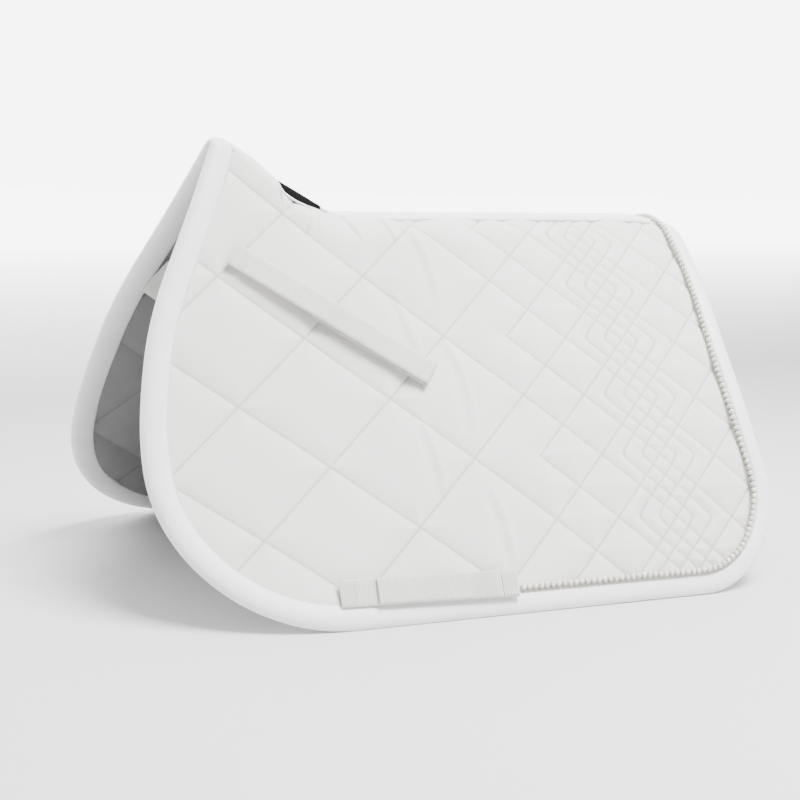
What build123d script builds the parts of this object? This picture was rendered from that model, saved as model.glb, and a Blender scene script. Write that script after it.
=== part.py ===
from build123d import *
import os
from math import asin, cos, pi, radians, sin, tan

# A quilted close-contact saddle pad, standing like a tent on its two hems as it sits on a
# horse's back. +X runs from the withers to the tail, -Y is the horse's left side, +Z is up.
# The origin is on the ground under the middle of the pad. Millimetres.
#
# The cloth of each side is a curved sheet. A place on it is given as (x, s): x along the
# pad, and s up the cloth from the hem. Offsets d are measured outwards from the middle of
# the cloth's thickness.

# ---------------------------------------------------------------- driving dimensions
length = 642                # nose of the front edge to the rear edge
nose_x, tail_x = -length / 2, length / 2
cloth_drop = 485            # cloth from the hem to the crown, over which it turns evenly

# cross-section at the nose and at the tail: half width at the hem, and how far the cloth
# leans from vertical at its hem and at its crown, in degrees
nose_hem_half, tail_hem_half = 224, 284
nose_hem_lean, tail_hem_lean = 41.1, 20.9
nose_crown_lean, tail_crown_lean = 11.3, 58.1

wither_height = 420         # middle of the cloth at the peak over the withers
spine_height = 347          # and along the back
wither_slope_x = (-225, -85)    # where the spine line starts and stops falling
droop_x, droop_rate = 255, 0.0022   # the spine line sinks a little behind droop_x

panel_half = 5.0            # half thickness of the quilted cloth
skin, lining_skin = 1.2, 1.0
layer_gap = 0.3
binding_half = 6.5          # half thickness of the rolled edge binding
binding_skin = 1.2
binding_width = 20
panel_inset = 9             # the cloth's own edge, inside the binding

fold_y, fold_z = 53.0, 330.0    # hinge line of each flap, just outside the cloth
crown_face_drop = 35        # slope of the crown's cut face under the fold, in degrees
flap_face_drop = 67         # slope of the flap's cut face: the wedge between is the travel
fold_gap = 0.6

webbing_width = 25
webbing = 1.6
tape = 0.8                  # hook or loop tape
tape_width = 20

bead_diameter, bead_pitch = 5.0, 6.0
bead_inset = 22.5           # bead line, from the pad's outer edge
bead_tape_width = 4.0
bead_tape_thick = 0.6

mesh_thick = 1.5            # stretch mesh over the withers

outline_top = 450           # side profiles are closed above the whole pad
reach = 400                 # half the depth of a cutting prism

# stations of the lofted cloth, closer together over the withers
stations = [-330, -270, -225, -200, -175, -150, -125, -100, -75, -20, 60, 140, 220, 285, 330]

os.makedirs("parts", exist_ok=True)


# ---------------------------------------------------------------- shape of the cloth
def between(x, nose_value, tail_value):
    """A value that changes evenly from the nose to the tail."""
    return nose_value + (tail_value - nose_value) * (x - nose_x) / (tail_x - nose_x)


def spine_z(x):
    """Height of the middle of the cloth along the spine."""
    start, stop = wither_slope_x
    way = min(max((x - start) / (stop - start), 0), 1)
    rise = (wither_height - spine_height) * (1 + cos(pi * way)) / 2
    return spine_height + rise - droop_rate * max(x - droop_x, 0) ** 2


def lean_at(x, s):
    """Lean of the cloth from vertical, in radians."""
    hem = radians(between(x, nose_hem_lean, tail_hem_lean))
    crown = radians(between(x, nose_crown_lean, tail_crown_lean))
    return hem + (crown - hem) * s / cloth_drop


def cloth_yz(x, s, d=0.0):
    """Half width and height of the cloth at (x, s), d outside its middle."""
    hem, lean = lean_at(x, 0), lean_at(x, s)
    turn = (lean_at(x, cloth_drop) - hem) / cloth_drop
    y = between(x, nose_hem_half, tail_hem_half) - (cos(hem) - cos(lean)) / turn
    z = (sin(lean) - sin(hem)) / turn
    return y + d * cos(lean), z + d * sin(lean)


def crown_start(x):
    """Cloth height where the round crown begins, and the crown's radius.

    The crown is the circle about the centre plane that meets the cloth smoothly and tops
    out at the spine line."""
    low, high = 250.0, 510.0
    for _ in range(50):
        s = (low + high) / 2
        y, z = cloth_yz(x, s)
        radius = y / cos(lean_at(x, s))
        if z + radius * (1 - sin(lean_at(x, s))) > spine_z(x):
            high = s
        else:
            low = s
    return s, radius


def cloth_at(x, z):
    """Cloth height s at which the middle of the cloth is z above the ground."""
    hem = lean_at(x, 0)
    turn = (lean_at(x, cloth_drop) - hem) / cloth_drop
    return (asin(z * turn + sin(hem)) - hem) / turn


def section_edges(x, d, under_hem=15):
    """One cross-section line of the whole tent: left flap, crown, right flap."""
    s_top, radius = crown_start(x)
    run = s_top + under_hem
    turn = (lean_at(x, s_top) - lean_at(x, -under_hem)) / run
    handle = run / 3 * (1 + turn * d)
    low, top = cloth_yz(x, -under_hem, d), cloth_yz(x, s_top, d)
    low_lean, top_lean = lean_at(x, -under_hem), lean_at(x, s_top)
    low_handle = (low[0] - handle * sin(low_lean), low[1] + handle * cos(low_lean))
    top_handle = (top[0] + handle * sin(top_lean), top[1] - handle * cos(top_lean))
    Bezier((-low[0], low[1]), (-low_handle[0], low_handle[1]),
           (-top_handle[0], top_handle[1]), (-top[0], top[1]))
    ThreePointArc((-top[0], top[1]), (0, spine_z(x) + d), top)
    Bezier(top, top_handle, low_handle, low)
    return low


def cloth_layer(inner, outer):
    """A sheet of the whole tent, between two offsets from the middle of the cloth."""
    with BuildPart() as layer:
        for x in stations:
            with BuildSketch(Plane.YZ.offset(x)):
                with BuildLine():
                    a = section_edges(x, outer)
                    b = section_edges(x, inner)
                    Line(a, b)
                    Line((-a[0], a[1]), (-b[0], b[1]))
                make_face()
        loft()
    return layer.part


# ---------------------------------------------------------------- outline of the pad
front_corner = (-161, 160)      # centre of the round lower front corner, and its radius
front_radius = 160
rear_corner = (190, 120)        # centre of the lower rear corner, a quarter ellipse
rear_radii = (102, 120)
front_edge = [(-321, 160, 0), (-306, 265, 13), (-272, 358, 26), (-219, 474, 23)]
rear_edge = [(292, 120, 0), (296, 240, 4), (317.9, 403, 8)]


def side_view(x, s):
    """A place on the cloth as seen from the side, in X and Z."""
    return x, cloth_yz(x, s)[1]


def edge_places(inset):
    """The pad's outline as cloth places, each list from one tangent point to the next:
    front edge downwards, front corner, rear corner, rear edge upwards."""
    front = [(x + inset * cos(radians(lean)), s - inset * sin(radians(lean)))
             for x, s, lean in reversed(front_edge)]
    corner = [(front_corner[0] - (front_radius - inset) * cos(radians(t)),
               front_corner[1] - (front_radius - inset) * sin(radians(t)))
              for t in (0, 22.5, 45, 67.5, 90)]
    heel = [(rear_corner[0] + (rear_radii[0] - inset) * sin(radians(t)),
             rear_corner[1] - (rear_radii[1] - inset) * cos(radians(t)))
            for t in (0, 22.5, 45, 67.5, 90)]
    rear = [(x - inset * cos(radians(lean)), s + inset * sin(radians(lean)))
            for x, s, lean in rear_edge]
    return front, corner, heel, rear


def outline_curves(inset):
    """Draw the pad's outline in side view, less an inset: front edge downwards, front
    corner, hem, rear corner and rear edge upwards."""
    front, corner, heel, rear = [[side_view(*p) for p in places]
                                 for places in edge_places(inset)]
    return (Spline(*front, tangents=[(-tan(radians(front_edge[-1][2])), -1), (0, -1)]),
            Spline(*corner, tangents=[(0, -1), (1, 0)]),
            Line(corner[-1], heel[0]),
            Spline(*heel, tangents=[(1, 0), (0, 1)]),
            Spline(*rear, tangents=[(0, 1), (tan(radians(rear_edge[-1][2])), 1)]))


def outline_prism(inset):
    """Everything inside the pad's outline as seen from the side, less an inset."""
    with BuildPart() as prism:
        with BuildSketch(Plane.XZ):
            with BuildLine():
                curves = outline_curves(inset)
                front, rear = curves[0] @ 0, curves[-1] @ 1
                peak = front.X + (outline_top - front.Y) * tan(radians(front_edge[-1][2]))
                tail = rear.X + (outline_top - rear.Y) * tan(radians(rear_edge[-1][2]))
                Polyline(front, (peak, outline_top), (tail, outline_top), rear)
            make_face()
        extrude(amount=reach, both=True)
    return prism.part


# ---------------------------------------------------------------- cutting regions
def end_view_prism(*corners):
    """A prism along the whole pad, from its corners in Y and Z."""
    with BuildPart() as prism:
        with BuildSketch(Plane.YZ):
            with BuildLine():
                Polyline(*corners, close=True)
            make_face()
        extrude(amount=reach, both=True)
    return prism.part


crown_valley = fold_z - fold_y * tan(radians(crown_face_drop))
flap_top = fold_z - fold_gap
flap_valley = flap_top - fold_y * tan(radians(flap_face_drop))
crown_region = end_view_prism(
    (-reach, fold_z), (-fold_y, fold_z), (0, crown_valley), (fold_y, fold_z),
    (reach, fold_z), (reach, outline_top), (-reach, outline_top))
left_crown_region = end_view_prism(
    (-reach, fold_z), (-fold_y, fold_z), (-layer_gap / 2, crown_valley),
    (-layer_gap / 2, outline_top), (-reach, outline_top))
left_flap_region = end_view_prism(
    (-reach, flap_top), (-fold_y, flap_top), (-layer_gap / 2, flap_valley),
    (-layer_gap / 2, -reach / 4), (-reach, -reach / 4))


def insert_window(grow):
    """The lens-shaped opening over the withers, let down by grow all round."""
    front_tip, rear_tip = (-149 - grow, 384), (-100 + grow, 356)
    with BuildPart() as window:
        with BuildSketch(Plane.XZ):
            with BuildLine():
                ThreePointArc(front_tip, (-128, 362 - grow), rear_tip)
                Polyline(rear_tip, (rear_tip[0], outline_top), (front_tip[0], outline_top), front_tip)
            make_face()
        extrude(amount=reach, both=True)
    return window.part


# ---------------------------------------------------------------- writing the pieces
def keep(piece, name):
    """Label a finished piece and write its STEP."""
    piece.part.label = name
    export_step(piece.part, f"parts/{name}.step")


def keep_pair(piece, name):
    """Write a left-hand piece and its mirror image on the right."""
    keep(piece, f"{name}_left")
    with BuildPart() as other:
        mirror(piece.part, about=Plane.XZ)
    keep(other, f"{name}_right")


# ---------------------------------------------------------------- quilted panels
panel_outline = outline_prism(panel_inset)
window, window_behind = insert_window(0), insert_window(6)
shell_sheet = cloth_layer(panel_half - skin, panel_half)
filling_sheet = cloth_layer(-panel_half + lining_skin + layer_gap, panel_half - skin - layer_gap)
lining_sheet = cloth_layer(-panel_half, -panel_half + lining_skin)

for sheet, sheet_name, opening in (
        (shell_sheet, "outer", window),
        (filling_sheet, "filling", window_behind),
        (lining_sheet, "lining", window_behind)):
    with BuildPart() as crown_half:
        add(sheet)
        add(panel_outline, mode=Mode.INTERSECT)
        add(left_crown_region, mode=Mode.INTERSECT)
        add(opening, mode=Mode.SUBTRACT)
    keep_pair(crown_half, f"crown_{sheet_name}")

    with BuildPart() as flap:
        add(sheet)
        add(panel_outline, mode=Mode.INTERSECT)
        add(left_flap_region, mode=Mode.INTERSECT)
    keep_pair(flap, f"flap_{sheet_name}")

# stretch insert over the withers, sewn under the outer cloth all round its opening
mesh_top = panel_half - skin - layer_gap
mesh_sheet = cloth_layer(mesh_top - mesh_thick, mesh_top)
mesh_window = insert_window(5.5)
mesh_half, mesh_foot = 60, fold_z + 15
mesh_band = end_view_prism((-mesh_half, mesh_foot), (mesh_half, mesh_foot),
                           (mesh_half, outline_top), (-mesh_half, outline_top))
with BuildPart() as wither_insert:
    add(mesh_sheet)
    add(mesh_window, mode=Mode.INTERSECT)
    add(mesh_band, mode=Mode.INTERSECT)
keep(wither_insert, "wither_insert")

# ---------------------------------------------------------------- edge binding
whole_outline, inner_outline = outline_prism(0), outline_prism(binding_width)
roll_sheet = cloth_layer(-binding_half, binding_half)
groove_sheet = cloth_layer(-binding_half + binding_skin, binding_half - binding_skin)
groove_outline = outline_prism(panel_inset - 1)
with BuildPart() as groove:
    add(groove_sheet)
    add(groove_outline, mode=Mode.INTERSECT)
with BuildPart() as binding:
    add(roll_sheet)
    add(whole_outline, mode=Mode.INTERSECT)
    add(inner_outline, mode=Mode.SUBTRACT)
    add(groove.part, mode=Mode.SUBTRACT)

with BuildPart() as flap_binding:
    add(binding.part)
    add(left_flap_region, mode=Mode.INTERSECT)
keep_pair(flap_binding, "flap_binding")

for end_name, start in (("front", nose_x - 10), ("rear", 0)):
    with BuildPart() as crown_binding:
        add(binding.part)
        add(crown_region, mode=Mode.INTERSECT)
        with BuildSketch(Plane.YZ.offset(start)):
            Rectangle(2 * reach, 4 * reach)
        extrude(amount=length / 2 + 10, mode=Mode.INTERSECT)
    keep(crown_binding, f"crown_binding_{end_name}")

# ---------------------------------------------------------------- tapes along the spine
tape_outline = outline_prism(bead_inset + bead_tape_width / 2 + layer_gap)
cut_height = 160            # the cutting rectangle reaches well above and below the spine line
for tape_name, inner, outer, x_from, x_to, half in (
        ("wither_tape", panel_half + layer_gap, panel_half + layer_gap + 1.0, nose_x, -156, 5),
        ("spine_tape", panel_half + layer_gap, panel_half + layer_gap + 1.2, -92, tail_x, 6),
        ("inner_spine_tape", -panel_half - layer_gap - 1.0, -panel_half - layer_gap, -85, tail_x, 10)):
    tape_sheet = cloth_layer(inner, outer)
    with BuildPart() as seam_tape:
        add(tape_sheet)
        add(tape_outline, mode=Mode.INTERSECT)
        with BuildSketch(Plane.YZ.offset(x_from)):
            with Locations((0, spine_height + cut_height / 4)):
                Rectangle(2 * half, cut_height)
        extrude(amount=x_to - x_from, mode=Mode.INTERSECT)
    keep(seam_tape, tape_name)


# ---------------------------------------------------------------- places on the left flap
def left_place(x, s, d=0.0):
    """A point of the left flap."""
    y, z = cloth_yz(x, s, d)
    return Vector(x, -y, z)


def left_plane(x, s, heading, height):
    """A plane that lies on the left flap at (x, s). Its x axis runs towards the heading, in
    degrees up from the tail direction, its normal points outwards, and it stands height
    outside the middle of the cloth."""
    along = (left_place(x + 1, s) - left_place(x - 1, s)).normalized()
    up = (left_place(x, s + 1) - left_place(x, s - 1)).normalized()
    normal = along.cross(up).normalized()
    direction = along * cos(radians(heading)) + up * sin(radians(heading))
    return Plane(origin=left_place(x, s) + normal * height, x_dir=direction, z_dir=normal)


def slab(plane, start, stop, low, high, width):
    """A flat length of webbing or tape: from start to stop along the plane's x axis, and
    from low to high above it."""
    with BuildPart() as piece:
        with BuildSketch(plane.offset(low)):
            with Locations(((start + stop) / 2, 0)):
                Rectangle(stop - start, width)
        extrude(amount=high - low)
    return piece


# ---------------------------------------------------------------- billet strap
# Webbing sewn down at its front end. It runs back and down to a fold, and its tail comes
# forward again underneath, held to it by hook and loop tape, so that a girth strap of the
# saddle can be caught in it.
strap_front, strap_rear = -111, 111
strap_tab = 16
strap_rise = 0.6            # the free end stands off the cloth by this many degrees
strap_stand = 11.6          # underside of the sewn end, above the middle of the cloth
strap_heading = -36.4
strap_gap = 0.4
flat = left_plane(-125, 300, strap_heading, 0)
billet = Plane(origin=flat.from_local_coords((strap_front, 0, strap_stand)),
               x_dir=flat.x_dir.rotate(Axis((0, 0, 0), flat.y_dir), -strap_rise),
               z_dir=flat.z_dir.rotate(Axis((0, 0, 0), flat.y_dir), -strap_rise))
strap_length = strap_rear - strap_front
fold_radius = 1.7           # inside of the fold, to its middle
fold_start = strap_length - 4
tail_front = strap_length - 130

billet_tab = slab(billet, 0, strap_tab, 0, webbing, webbing_width)
keep_pair(billet_tab, "billet_tab")

free_length = slab(billet, strap_tab + strap_gap, fold_start, 0, webbing, webbing_width)
fold_centre = billet.from_local_coords((fold_start, webbing_width / 2, -fold_radius))
fold_plane = Plane(origin=fold_centre, x_dir=billet.x_dir, z_dir=-billet.y_dir)
with BuildPart() as billet_strap:
    add(free_length.part)
    with BuildSketch(fold_plane):
        with BuildLine():
            for r in (fold_radius, fold_radius + webbing):
                ThreePointArc((0, r), (r, 0), (0, -r))
            for end in (1, -1):
                Line((0, end * fold_radius), (0, end * (fold_radius + webbing)))
        make_face()
    extrude(amount=webbing_width)
keep_pair(billet_strap, "billet_strap")

tail_top = -2 * fold_radius
billet_loop_tape = slab(billet, tail_front + 20, fold_start - 10, -tape, 0, tape_width)
keep_pair(billet_loop_tape, "billet_loop_tape")
billet_tail = slab(billet, tail_front, fold_start - strap_gap, tail_top - webbing, tail_top,
                   webbing_width)
keep_pair(billet_tail, "billet_tail")
billet_hook_tape = slab(billet, tail_front + 4, tail_front + 64, tail_top, tail_top + tape,
                        tape_width)
keep_pair(billet_hook_tape, "billet_hook_tape")

# square of cloth behind the strap's sewn end, on the lining
backing_thick, backing_width = 1.0, 40
backing_clear = 1.4         # the cloth bulges this far inwards under the flat square
backing_plane = left_plane(-236, 325, strap_heading, -panel_half - layer_gap - backing_clear)
billet_backing = slab(backing_plane, -26, 60, -backing_thick, 0, backing_width)
keep_pair(billet_backing, "billet_backing")

# ---------------------------------------------------------------- girth keeper
# Two lengths of webbing over the hem: the under one sewn down in front, the upper one sewn
# down behind and closed on it with hook and loop tape.
keeper = left_plane(-90, 29, -2.2, binding_half + 0.9)
keeper_front, keeper_rear = -84, 84
keeper_tab = 15
under_top = webbing
loop_top = under_top + tape
strap_low = loop_top + layer_gap + tape

girth_band = slab(keeper, keeper_front, 58, 0, under_top, webbing_width)
keep_pair(girth_band, "girth_band")
girth_loop_tape = slab(keeper, -40, 40, under_top, loop_top, tape_width)
keep_pair(girth_loop_tape, "girth_loop_tape")
girth_tab = slab(keeper, keeper_rear - keeper_tab, keeper_rear, 0, strap_low + webbing,
                 webbing_width)
keep_pair(girth_tab, "girth_tab")
girth_strap = slab(keeper, -50, keeper_rear - keeper_tab - strap_gap, strap_low,
                   strap_low + webbing, webbing_width)
keep_pair(girth_strap, "girth_strap")
girth_hook_tape = slab(keeper, -44, 16, strap_low - tape, strap_low, tape_width)
keep_pair(girth_hook_tape, "girth_hook_tape")

# ---------------------------------------------------------------- bead trim
# Beads on a narrow tape just inside the binding: back along the hem from the girth keeper,
# round the lower rear corner, up the rear edge and over the spine.
trim_start_x = -4.0
bead_low = panel_half + layer_gap
tape_high = bead_low + bead_tape_thick
bead_d = tape_high + 0.2 + bead_diameter / 2

trim_sheet = cloth_layer(bead_low, tape_high)
trim_outer = outline_prism(bead_inset - bead_tape_width / 2 + layer_gap)
trim_inner = outline_prism(bead_inset + bead_tape_width / 2)
with BuildPart() as trim_region:
    add(trim_outer)
    add(trim_inner, mode=Mode.SUBTRACT)
    with BuildSketch(Plane.YZ.offset(trim_start_x)):
        Rectangle(2 * reach, 4 * reach)
    extrude(amount=length / 2, mode=Mode.INTERSECT)
with BuildPart() as trim_tape:
    add(trim_sheet)
    add(trim_region.part, mode=Mode.INTERSECT)

with BuildPart() as flap_trim_tape:
    add(trim_tape.part)
    add(left_flap_region, mode=Mode.INTERSECT)
keep_pair(flap_trim_tape, "bead_tape")
with BuildPart() as crown_trim_tape:
    add(trim_tape.part)
    add(crown_region, mode=Mode.INTERSECT)
keep(crown_trim_tape, "crown_bead_tape")


def trim_line():
    """The bead line on the left side, from the keeper to the top of the spine."""
    with BuildLine():
        _, _, hem, heel, rear = outline_curves(bead_inset)
    start = (trim_start_x + 3 - (hem @ 0).X) / hem.length
    flat = [hem @ (start + (1 - start) * n / 4) for n in range(4)]
    flat += [heel @ (n / 8) for n in range(8)]
    flat += [rear @ (n / 8) for n in range(9)]
    line = []
    for p in flat:
        y, z = cloth_yz(p.X, cloth_at(p.X, p.Y), bead_d)
        line.append(Vector(p.X, -y, z))
    crown_x = flat[-1].X + 1.5
    s_top, radius = crown_start(crown_x)
    top_lean = pi / 2 - lean_at(crown_x, s_top)
    for part_way in (0.8, 0.5, 0.25, 0):
        turn = top_lean * part_way
        line.append(Vector(crown_x, -(radius + bead_d) * sin(turn),
                           spine_z(crown_x) - radius + (radius + bead_d) * cos(turn)))
    return line


def way_to_height(path, height):
    """How far along the rising end of a path, as a fraction, it reaches a height."""
    low, high = 0.5, 1.0
    for _ in range(30):
        way = (low + high) / 2
        if (path @ way).Z > height:
            high = way
        else:
            low = way
    return way


def bead_row(path, start, stop):
    """Bead centres, close to the bead pitch apart, between two fractions of a path."""
    count = round(path.length * (stop - start) / bead_pitch)
    return [path @ (start + (stop - start) * n / count) for n in range(count + 1)]


# the last bead of the flap and the first of the crown lie one pitch apart, across the fold
bead_path = Spline(*trim_line())
below_fold = way_to_height(bead_path, flap_top - bead_diameter / 2 - 0.1)
above_fold = below_fold + bead_pitch / bead_path.length
flap_places = bead_row(bead_path, 0, below_fold)
crown_places = bead_row(bead_path, above_fold, 1)

with BuildPart() as flap_beads:
    with Locations(*flap_places):
        Sphere(bead_diameter / 2)
keep_pair(flap_beads, "beads")
with BuildPart() as crown_beads:
    with Locations(*crown_places, *[Vector(p.X, -p.Y, p.Z) for p in crown_places if p.Y < -1]):
        Sphere(bead_diameter / 2)
keep(crown_beads, "crown_beads")

# ---------------------------------------------------------------- joint lines, for the record
for hinge_name, place, direction in (
        ("flap_fold", Vector(0, -fold_y, fold_z), Vector(1, 0, 0)),
        ("billet_lift", billet.from_local_coords((strap_tab + strap_gap / 2, 0, webbing)),
         billet.y_dir),
        ("billet_tail", billet.from_local_coords((fold_start, 0, tail_top - webbing / 2)),
         billet.y_dir),
        ("girth_peel", keeper.from_local_coords((keeper_rear - keeper_tab - strap_gap / 2, 0,
                                                 strap_low + webbing)), keeper.y_dir)):
    print(hinge_name, "at", [round(c, 2) for c in place], "along", [round(c, 5) for c in direction])
print("beads each side", len(flap_places), "over the crown", len(crown_places))
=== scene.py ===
import math

import bpy
import numpy as np
from mathutils import Matrix, Vector


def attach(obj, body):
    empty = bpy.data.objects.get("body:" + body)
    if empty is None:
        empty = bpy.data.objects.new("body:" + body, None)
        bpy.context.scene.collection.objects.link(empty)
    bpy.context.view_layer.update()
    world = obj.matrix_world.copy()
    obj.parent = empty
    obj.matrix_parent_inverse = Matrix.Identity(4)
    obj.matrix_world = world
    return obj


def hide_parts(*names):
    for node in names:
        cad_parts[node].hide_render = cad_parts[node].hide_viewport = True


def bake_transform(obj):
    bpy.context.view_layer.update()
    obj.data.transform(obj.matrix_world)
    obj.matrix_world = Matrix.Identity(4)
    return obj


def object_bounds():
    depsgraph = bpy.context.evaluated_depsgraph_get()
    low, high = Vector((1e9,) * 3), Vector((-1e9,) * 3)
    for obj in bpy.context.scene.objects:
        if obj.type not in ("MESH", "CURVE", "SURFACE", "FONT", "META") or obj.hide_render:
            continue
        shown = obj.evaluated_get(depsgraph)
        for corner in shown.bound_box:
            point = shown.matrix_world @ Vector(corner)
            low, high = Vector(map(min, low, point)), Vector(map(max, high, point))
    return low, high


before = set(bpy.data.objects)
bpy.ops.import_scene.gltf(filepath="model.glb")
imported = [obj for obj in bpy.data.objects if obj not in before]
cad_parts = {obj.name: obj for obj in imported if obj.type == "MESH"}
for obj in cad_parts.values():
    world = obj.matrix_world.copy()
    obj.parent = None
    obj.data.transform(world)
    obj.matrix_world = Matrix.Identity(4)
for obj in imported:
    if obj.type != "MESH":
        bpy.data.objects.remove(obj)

# The looks of the quilted saddle pad. The cloth of each half is a curved sheet, and a place
# on it is (x, s): x along the pad and s up the cloth from the hem, in millimetres, as in the
# CAD. Offsets d run outwards from the middle of the cloth. Meshes are made in metres.

MM = 0.001
cad_low, cad_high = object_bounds()
SIDES = (("left", -1), ("right", 1))

# ---------------------------------------------------------------- shape of the cloth
# A pair holds the values at the nose and at the tail. A lean is from vertical, in degrees, and
# goes from HEM_LEAN at the hem to CROWN_LEAN at a cloth height of DROP.
NOSE_X, TAIL_X = cad_low[0] / MM, cad_high[0] / MM
DROP = 485.0
HEM_HALF = (224.0, 284.0)
HEM_LEAN = (41.1, 20.9)
CROWN_LEAN = (11.3, 58.1)
WITHER_Z, SPINE_Z = 420.0, 347.0
WITHER_X, WITHER_RUN = -225.0, 140.0    # the spine comes down from the withers over this run
DROOP_X, DROOP = 255.0, 0.0022          # and droops again towards the tail
CROWN_SEARCH = (250.0, 510.0)           # cloth heights between which the round crown begins
HALVINGS = 40                           # of that range
PANEL_HALF = 5.0                        # half the thickness of the padded cloth


def between(x, ends):
    """The value at x of a pair."""
    return ends[0] + (ends[1] - ends[0]) * (x - NOSE_X) / (TAIL_X - NOSE_X)


def spine_z(x):
    """Height of the cloth's middle along the spine."""
    way = np.clip((x - WITHER_X) / WITHER_RUN, 0, 1)
    rise = (WITHER_Z - SPINE_Z) * (1 + np.cos(np.pi * way)) / 2
    return SPINE_Z + rise - DROOP * np.maximum(x - DROOP_X, 0) ** 2


def lean_at(x, s):
    """Lean of the cloth from vertical, in radians."""
    hem = np.radians(between(x, HEM_LEAN))
    return hem + (np.radians(between(x, CROWN_LEAN)) - hem) * s / DROP


def flap_yz(x, s, d):
    """Half width and height of the flap at (x, s), d outside its middle."""
    hem, lean = lean_at(x, 0.0), lean_at(x, s)
    turn = (lean_at(x, DROP) - hem) / DROP
    y = between(x, HEM_HALF) - (np.cos(hem) - np.cos(lean)) / turn
    z = (np.sin(lean) - np.sin(hem)) / turn
    return y + d * np.cos(lean), z + d * np.sin(lean)


def crown(x):
    """Cloth height where the round crown begins, its radius, and the cloth's whole height
    up to the spine."""
    low, high = (np.full_like(x, end) for end in CROWN_SEARCH)
    for _ in range(HALVINGS):
        s = (low + high) / 2
        y, z = flap_yz(x, s, 0)
        lean = lean_at(x, s)
        above = z + y / np.cos(lean) * (1 - np.sin(lean)) > spine_z(x)
        high = np.where(above, s, high)
        low = np.where(above, low, s)
    lean = lean_at(x, s)
    radius = flap_yz(x, s, 0)[0] / np.cos(lean)
    return s, radius, s + radius * (np.pi / 2 - lean)


def cloth(x, s, d=0.0, side=-1):
    """Points, in metres, of the cloth at (x, s), d outside its middle, on one side."""
    x, s = np.broadcast_arrays(np.asarray(x, float), np.asarray(s, float))
    s_start, radius, _ = crown(x)
    y, z = flap_yz(x, np.minimum(s, s_start), d)
    lean = np.minimum(lean_at(x, s_start) + (s - s_start) / radius, np.pi / 2)
    on_crown = s > s_start
    y = np.where(on_crown, (radius + d) * np.cos(lean), y)
    z = np.where(on_crown, spine_z(x) - radius + (radius + d) * np.sin(lean), z)
    return np.stack([x, side * y, z], -1) * MM


def top_s(x):
    """Cloth height of the spine seam at x."""
    return crown(np.asarray(x, float))[2]


# ---------------------------------------------------------------- outline of the pad
# Each edge is a smooth curve through (x, s, lean from vertical in degrees).
FRONT_EDGE = [(-219, 474, 23), (-272, 358, 26), (-306, 265, 13), (-321, 160, 0)]
REAR_EDGE = [(292, 120, 0), (296, 240, 4), (317.9, 403, 8)]
FRONT_CORNER, FRONT_RADIUS = (-161, 160), 160
REAR_CORNER, REAR_RADII = (190, 120), (102, 120)
EDGE_SPACING = 3.0              # between the points of the finished outline
SEAM_STEPS = 30                 # steps that take an edge on to the spine seam
SMOOTHING = 9                   # points over which the inward direction is smoothed
SEAM_TURN = 45.0                # run over which it turns to lie along the spine
ABOVE_ALL = 700.0               # a cloth height above the whole pad


def heading(lean):
    """Upward direction in (x, s) at a lean in degrees."""
    return np.array([math.sin(math.radians(lean)), math.cos(math.radians(lean))])

def smooth_edge(knots, downwards, steps=24):
    """Points of a curve through knots, each with its own lean."""
    points = []
    sign = -1 if downwards else 1
    for (x0, s0, lean0), (x1, s1, lean1) in zip(knots, knots[1:]):
        reach = math.hypot(x1 - x0, s1 - s0)
        t = np.linspace(0, 1, steps, endpoint=False)[:, None]
        a, b = np.array([x0, s0]), np.array([x1, s1])
        points.append(a * (2 * t ** 3 - 3 * t ** 2 + 1) + b * (3 * t ** 2 - 2 * t ** 3)
                      + sign * reach * heading(lean0) * (t ** 3 - 2 * t ** 2 + t)
                      + sign * reach * heading(lean1) * (t ** 3 - t ** 2))
    return np.vstack(points + [np.array([knots[-1][:2]], float)])


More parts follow.
